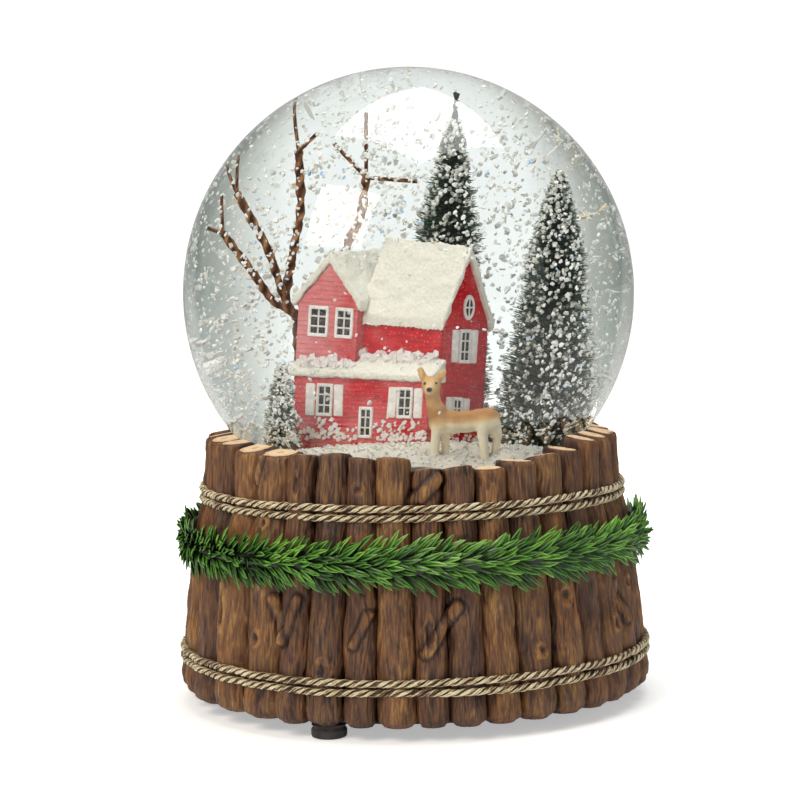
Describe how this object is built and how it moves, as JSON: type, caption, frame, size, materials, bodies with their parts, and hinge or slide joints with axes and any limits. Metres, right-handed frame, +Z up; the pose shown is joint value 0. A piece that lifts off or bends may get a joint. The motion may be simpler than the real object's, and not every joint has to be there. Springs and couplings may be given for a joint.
{
  "type": "snow globe",
  "caption": "Wind-up musical snow globe: a water-filled glass ball with a red farmhouse, deer and snowy trees, on a base of upright logs with rope and garland trim.",
  "frame": {"origin": "on the table, under the centre of the ball and base", "axes": "+Z up, -Y towards the front, where the deer stands, +X to the viewer's right"},
  "size_m": [0.1278, 0.1278, 0.1678],
  "materials": {
    "log_bark": "cast resin logs painted brown with darker grooves",
    "log_end_wood": "tan painted saw cuts on the log tops",
    "cord_rope": "twisted cream cord with a brown wash",
    "garland_green": "glossy moulded leaves, bright green over near black",
    "plate_black": "moulded black closing plate",
    "screw_steel": "zinc plated screws",
    "foot_rubber": "black rubber bumper",
    "globe_glass": "clear blown glass",
    "water_clear": "clear water",
    "sealant": "white silicone bed",
    "stopper_rubber": "pale moulded rubber",
    "house_red": "red painted clapboard",
    "roof_snow": "cream white glittered snow",
    "house_white": "white painted frames, shutters and door",
    "deer_tan": "tan painted deer",
    "fir_bristle": "dark green bristles tipped with white flock",
    "twig_brown": "brown twisted twigs",
    "ground_snow": "granular glittered snow",
    "flake_white": "loose white flakes",
    "brass_plate": "stamped and turned brass",
    "spring_steel": "blued spring steel",
    "comb_steel": "ground steel",
    "key_steel": "nickel plated stamped steel",
    "nylon_white": "moulded nylon"
  },
  "bodies": {
    "globe": {"log_base_shell": "log_bark", "rope_lower_1": "cord_rope", "rope_lower_2": "cord_rope", "rope_upper_1": "cord_rope", "rope_upper_2": "cord_rope", "pine_garland": "garland_green", "bottom_plate": "plate_black", "plate_screws": "screw_steel", "rubber_foot_front_left": "foot_rubber", "rubber_foot_right": "foot_rubber", "rubber_foot_back": "foot_rubber", "glass_globe": "globe_glass", "sealant_ring": "sealant", "rubber_stopper": "stopper_rubber", "house_body": "house_red", "main_roof_snow": "roof_snow", "wing_roof_snow": "roof_snow", "porch_roof_snow": "roof_snow", "house_windows": "house_white", "house_shutters": "house_white", "house_door": "house_white", "deer": "deer_tan", "fir_tree_right": "fir_bristle", "fir_tree_back": "fir_bristle", "fir_tree_left": "fir_bristle", "twig_tree_left": "twig_brown", "twig_tree_back": "twig_brown", "snow_ground": "ground_snow", "settled_snow": "ground_snow", "snow_flakes": "flake_white", "liquid_fill": "water_clear", "movement_bedplate": "brass_plate", "spring_barrel": "brass_plate", "mainspring": "spring_steel", "inner_upright": "brass_plate", "outer_upright": "brass_plate", "music_comb": "comb_steel", "comb_block": "brass_plate", "comb_screws": "screw_steel", "movement_screws": "screw_steel"},
    "winding": {"winding_key": "key_steel", "winding_arbor": "comb_steel", "great_wheel": "brass_plate"},
    "music_cylinder": {"pin_cylinder": "brass_plate", "cylinder_arbor": "comb_steel", "cylinder_pinion": "brass_plate", "drive_gear": "nylon_white"},
    "governor": {"governor_shaft": "comb_steel", "air_brake_fan": "nylon_white"}
  },
  "joints": [
    {"name": "key_turn", "type": "hinge", "parent": "globe", "child": "winding", "pos_m": [0, 0, 0.0115], "axis": [0, 0, 1], "continuous": true},
    {"name": "cylinder_spin", "type": "hinge", "parent": "globe", "child": "music_cylinder", "pos_m": [0.0247, 0, 0.0329], "axis": [1, 0, 0], "continuous": true},
    {"name": "governor_spin", "type": "hinge", "parent": "globe", "child": "governor", "pos_m": [0.03, -0.009, 0.02658], "axis": [1, 0, 0], "continuous": true}
  ],
  "couplings": [
    {"joint": "cylinder_spin", "follows": "key_turn", "ratio": 3},
    {"joint": "governor_spin", "follows": "key_turn", "ratio": -13.5}
  ]
}
